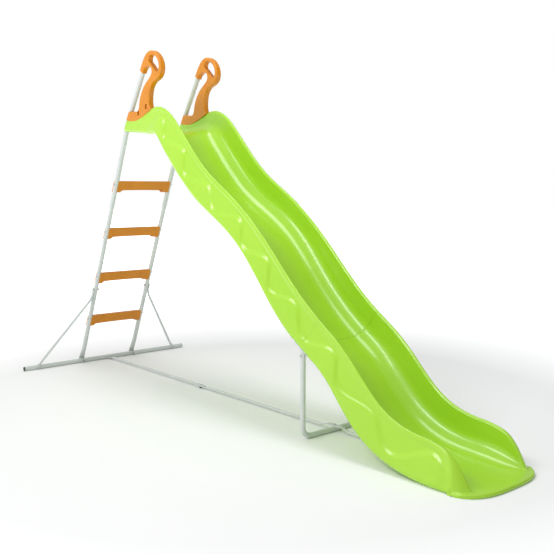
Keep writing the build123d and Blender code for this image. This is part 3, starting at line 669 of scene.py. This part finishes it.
def addWave(outer, s, x, depth, top):
    # Below its line the flank stands proud, above it the flank is sunk, and both fade at the edges
    under = -outer[:, :, 1]
    line = waveLine(s)[:, None]
    fades = chute["waveFades"]
    relief = easeStep(under - line, -chute["waveWidth"] / 2, chute["waveWidth"] / 2) - chute["waveSunkShare"]
    keep = easeStep(under + top[:, None], *fades["rim"])
    keep = keep * easeStep(depth[:, None] - under, *fades["base"])
    keep = keep * easeStep(outer[:, :, 0], *fades["flank"])
    ends = easeStep(s, *fades["start"]) * (1 - easeStep(x, *fades["end"]))
    outer[:, :, 0] += chute["waveHeight"] * relief * keep * ends[:, None]


def dishFloor(inner, x, drop, floorHalf):
    # A shallow dish: dish * (1 - (y / half width)^2)
    dish = np.clip(1 - (inner[:, :, 0] / floorHalf[:, None]) ** 2, 0, 1)
    dish = dish * (1 - easeStep(x, *chute["floorDishEnd"]))[:, None]
    nearFloor = np.abs(inner[:, :, 1] + drop[:, None]) < 0.02
    inner[:, :, 1] -= chute["floorDish"] * dish * nearFloor


def roundNose(half, x, depth):
    # The front of the lip is a half round: its thickness shrinks as sqrt(1 - t^2)
    radius = chute["lipThick"] / 2
    nose = np.clip((x - (chute["tipX"] - radius)) / radius, 0, 1)[:, None]
    middle = (radius - depth)[:, None]
    thinned = middle + (half[:, :, 1] - middle) * np.sqrt(1 - nose**2)
    half[:, :, 1] = np.where(nose > 0, thinned, half[:, :, 1])


def chuteSections(s, rows):
    # Each section is two half lines in its own plane, with the same number of points: an outer one from the
    # middle of the underside round the flank to the crest of the rim, and an inner one from the middle of
    # the sliding floor up the wall to that crest. The other half mirrors them.
    x, rimZ, lean, depth, drop = rows.T
    drop = floorDrop(x, rimZ, drop)
    wall = np.clip(drop + exitCut(x, rimZ), 0, None)
    top = wall - drop
    rimHalf, innerHalf, base = (byX(chute[key], x) for key in ("rimHalf", "innerHalf", "flankHalf"))
    outerTop = base + (rimHalf - base) * (depth + top) / depth
    floorHalf = innerHalf - chute["wallLean"] * drop
    bevel = np.minimum(chute["flareDepth"], 0.45 * wall)
    innerTop = innerHalf + np.minimum(chute["flare"], 0.8 * wall)
    fading = easeStep(x, *chute["rimFading"])
    apexShare, apexFade = chute["rimApex"]
    apex = innerTop + (apexShare - apexFade * fading) * (outerTop - innerTop)
    rimRound, rimGrowth = chute["rimRound"]
    baseRound = np.minimum(chute["baseRound"], 0.45 * (depth + top))
    floorRound = np.minimum(chute["floorRound"], chute["floorRoundShare"] * wall + 0.001)
    zero = np.zeros_like(x)

    def corner(across, up):
        return np.stack([across, up], 1)

    outer = roundedPath(
        [corner(zero, -depth), corner(base, -depth), corner(outerTop, top), corner(apex, top)],
        [baseRound, rimRound + rimGrowth * fading],
        [14, 34, 3],
        [8, 12],
        (0.47, 0.95),
    )
    inner = roundedPath(
        [
            corner(zero, -drop),
            corner(floorHalf, -drop),
            corner(innerHalf, top - bevel),
            corner(innerTop, top),
            corner(apex, top),
        ],
        [floorRound, chute["bevelRound"], chute["crestRound"]],
        [14, 14, 4, 3],
        [18, 8, 10],
        (0.66, 0.45, 0.95),
    )
    addWave(outer, s, x, depth, top)
    dishFloor(inner, x, drop, floorHalf)
    roundNose(outer, x, depth)
    roundNose(inner, x, depth)
    mirror = np.array([-1.0, 1.0])
    outer = np.concatenate([outer[:, :0:-1] * mirror, outer], 1)
    inner = np.concatenate([inner[:, :0:-1] * mirror, inner], 1)
    loop = np.concatenate([outer, inner[:, -2:0:-1]], 1)
    across, up = loop[:, :, 0], loop[:, :, 1]
    angle = np.radians(lean)[:, None]
    share = lipShare(x)[:, None]
    lipX = chute["lipStart"] + share * (lipFrontX(across) - chute["lipStart"])
    placeX = np.where(share > 0, lipX, x[:, None] + np.sin(angle) * up)
    placeZ = rimZ[:, None] + np.cos(angle) * up
    return np.stack([placeX + chuteShift, across, np.maximum(placeZ, 0)], 2), outer.shape[1]


def sectionPlaces(start, end, seam, closeFront):
    # Even steps along the rim, with pairs at the ends of the bracket's recess, and steps that follow
    # end - radius * (1 - sin t) where the lip's edge rounds off
    s = np.linspace(start, end, int((end - start) / chute["stepLength"]))
    reach, _ = chute["plateRecess"]
    pairs = [seam + side * (reach + more) for side in (-1, 1) for more in (0, 0.001)]
    s = np.unique(np.concatenate([s, pairs]))
    s = s[(s >= start) & (s <= end)]
    if closeFront:
        radius = chute["lipThick"] / 2
        turn = np.linspace(0, np.pi / 2, 9)
        s = np.concatenate([s[:-2], end - radius * (1 - np.sin(turn))])
    return s


def sectionFaces(sections, around, outerCount, closeFront):
    # Quads between neighbouring sections, and end caps of quads between the outer and the inner line
    a = np.arange(sections - 1)[:, None] * around + np.arange(around)[None, :]
    b = np.arange(sections - 1)[:, None] * around + (np.arange(around)[None, :] + 1) % around
    faces = np.stack([a, b, b + around, a + around], 2).reshape(-1, 4).tolist()
    outerIds = np.arange(outerCount)
    innerIds = np.concatenate([[0], np.arange(around - 1, outerCount - 1, -1), [outerCount - 1]])
    cap = np.stack([outerIds[:-1], outerIds[1:], innerIds[1:], innerIds[:-1]], 1)
    caps = [cap] if closeFront else [cap, cap + (sections - 1) * around]
    return faces + [tuple(dict.fromkeys(corners)) for ends in caps for corners in ends.tolist()]


def chuteHalf(name, fromRow, toRow, closeFront):
    rows = np.array(chute["rows"])
    run = np.concatenate([[0], np.cumsum(np.hypot(*np.diff(rows[:, :2], axis=0).T))])
    gap = chute["seamGap"] / 2
    start = run[fromRow] + (gap if fromRow else 0)
    end = run[toRow] - (0 if closeFront else gap)
    seam = run[chute["seamRow"]]
    reach, sunk = chute["plateRecess"]
    s = sectionPlaces(start, end, seam, closeFront)
    along = splineThrough(run, rows, s)
    along[:, 3] -= sunk * (np.abs(s - seam) <= reach)
    along[:, 0] = np.minimum(along[:, 0], chute["tipX"])
    points, outerCount = chuteSections(s, along)
    sections, around = points.shape[:2]
    faces = sectionFaces(sections, around, outerCount, closeFront)
    edges = np.linalg.norm(np.diff(points, axis=1), axis=2)
    girth = np.concatenate([np.zeros((sections, 1)), np.cumsum(edges, 1)], 1)
    uv = np.stack([girth, np.broadcast_to(s[:, None], girth.shape)], 2)
    return buildMesh(name, points, faces, uv)


def addBoss(made):
    # A short peg under the chute for the strut's screw: a circle carried up from the strut to the skin,
    # with a narrow chamfer below and a slight widening towards the skin
    turnCount = 40
    chamfer = 0.001
    angle = np.linspace(0, 2 * np.pi, turnCount, endpoint=False)
    low, high = chute["bossSpan"]
    radius = chute["bossRadius"]
    heights = np.array([low, low, low + chamfer, high, high])
    radii = np.array([0, radius - chamfer, radius, radius + chamfer, 0])
    ringX = chute["bossX"] + chuteShift + radii[:, None] * np.cos(angle)
    ringY = radii[:, None] * np.sin(angle)
    rings = np.stack([ringX, ringY, np.broadcast_to(heights[:, None], ringX.shape)], 2)
    ringStarts = np.arange(len(radii) - 1)[:, None] * turnCount
    a = ringStarts + np.arange(turnCount)[None, :]
    b = ringStarts + (np.arange(turnCount)[None, :] + 1) % turnCount
    faces = np.stack([a, b, b + turnCount, a + turnCount], 2).reshape(-1, 4).tolist()
    boss = buildMesh("lowerChuteBoss", rings, faces)
    cleanMesh(boss)
    work = bmesh.new()
    work.from_mesh(made.data)
    work.from_mesh(boss.data)
    work.to_mesh(made.data)
    work.free()
    bpy.data.objects.remove(boss)


def addBevel(made, width, segments, degrees):
    bevel = made.modifiers.new("softEdges", "BEVEL")
    bevel.width = width
    bevel.segments = segments
    bevel.limit_method = "ANGLE"
    bevel.angle_limit = math.radians(degrees)


lastRow = len(chute["rows"]) - 1
upperChute = chuteHalf("upperChuteShell", 0, chute["seamRow"], False)
lowerChute = chuteHalf("lowerChuteShell", chute["seamRow"], lastRow, True)
for half, node in ((upperChute, "upper_chute"), (lowerChute, "lower_chute")):
    cleanMesh(half)
    if half is lowerChute:
        addBoss(half)
    assign(half, finishes["lime_plastic"])
    addBevel(half, **chute["edge"])
    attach(half, "root")
    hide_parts(node)
    print(half.name, len(half.data.polygons), "faces")
